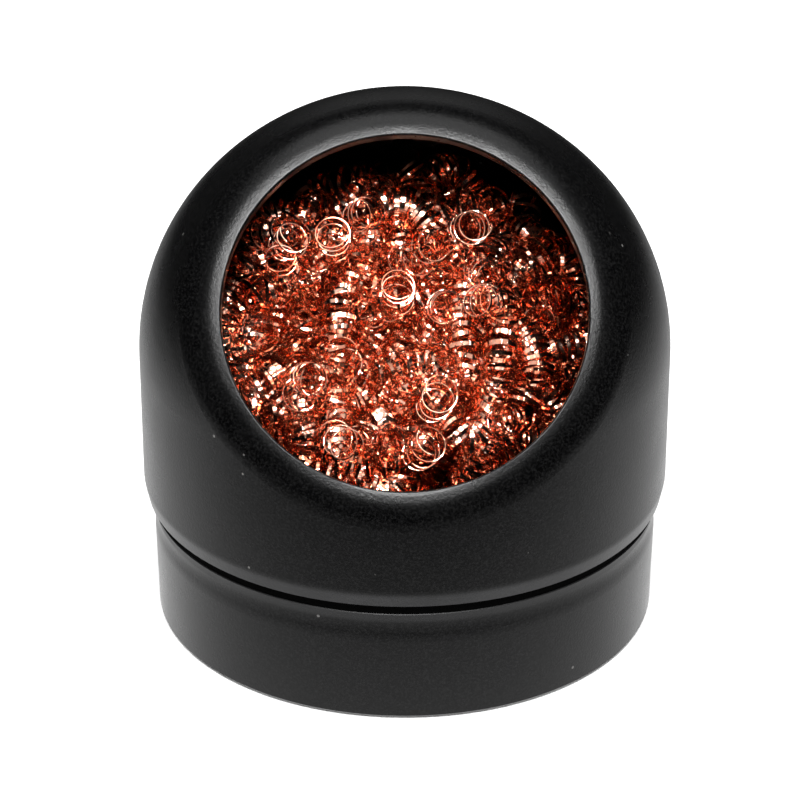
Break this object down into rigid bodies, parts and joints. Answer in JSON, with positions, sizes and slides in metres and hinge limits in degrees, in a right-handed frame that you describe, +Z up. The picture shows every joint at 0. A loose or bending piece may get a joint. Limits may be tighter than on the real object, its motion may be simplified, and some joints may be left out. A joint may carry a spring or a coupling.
{
  "type": "soldering tip cleaner",
  "caption": "bench cleaner for soldering-iron tips: a round two-part metal case whose domed hood has a slanted round mouth over a nest of curled metal wool",
  "frame": {"origin": "centre of the bottom face of the non-slip pad, on the surface that the cleaner stands on", "axes": "+Z up along the case's round axis; the mouth opens towards -Y, 40.2 degrees above the horizontal; +X to the right seen from the front"},
  "size_m": [0.053, 0.053, 0.0536],
  "materials": {
    "case_paint": "satin",
    "ring_rubber": "matte",
    "pad_rubber": "matte",
    "wool_metal": "polished"
  },
  "bodies": {
    "base": {"base_cup": "case_paint", "foot_pad": "pad_rubber"},
    "ring": {"friction_ring": "ring_rubber"},
    "wool": {"wool_strand_01": "wool_metal", "wool_strand_02": "wool_metal", "wool_strand_03": "wool_metal", "wool_strand_04": "wool_metal", "wool_strand_05": "wool_metal", "wool_strand_06": "wool_metal", "wool_strand_07": "wool_metal", "wool_strand_08": "wool_metal", "wool_strand_09": "wool_metal", "wool_strand_10": "wool_metal", "wool_strand_11": "wool_metal", "wool_strand_12": "wool_metal", "wool_strand_13": "wool_metal", "wool_strand_14": "wool_metal", "wool_strand_15": "wool_metal", "wool_strand_16": "wool_metal"},
    "hood": {"hood": "case_paint"}
  },
  "joints": [
    {"name": "hood_turn", "type": "hinge", "parent": "base", "child": "ring", "pos_m": [0, 0, 0.0141], "axis": [0, 0, 1], "continuous": true},
    {"name": "wool_lift", "type": "slide", "parent": "ring", "child": "wool", "axis": [0, 0, 1], "range_m": [0, 0.02]},
    {"name": "hood_lift", "type": "slide", "parent": "wool", "child": "hood", "axis": [0, 0, 1], "range_m": [0, 0.045]}
  ]
}
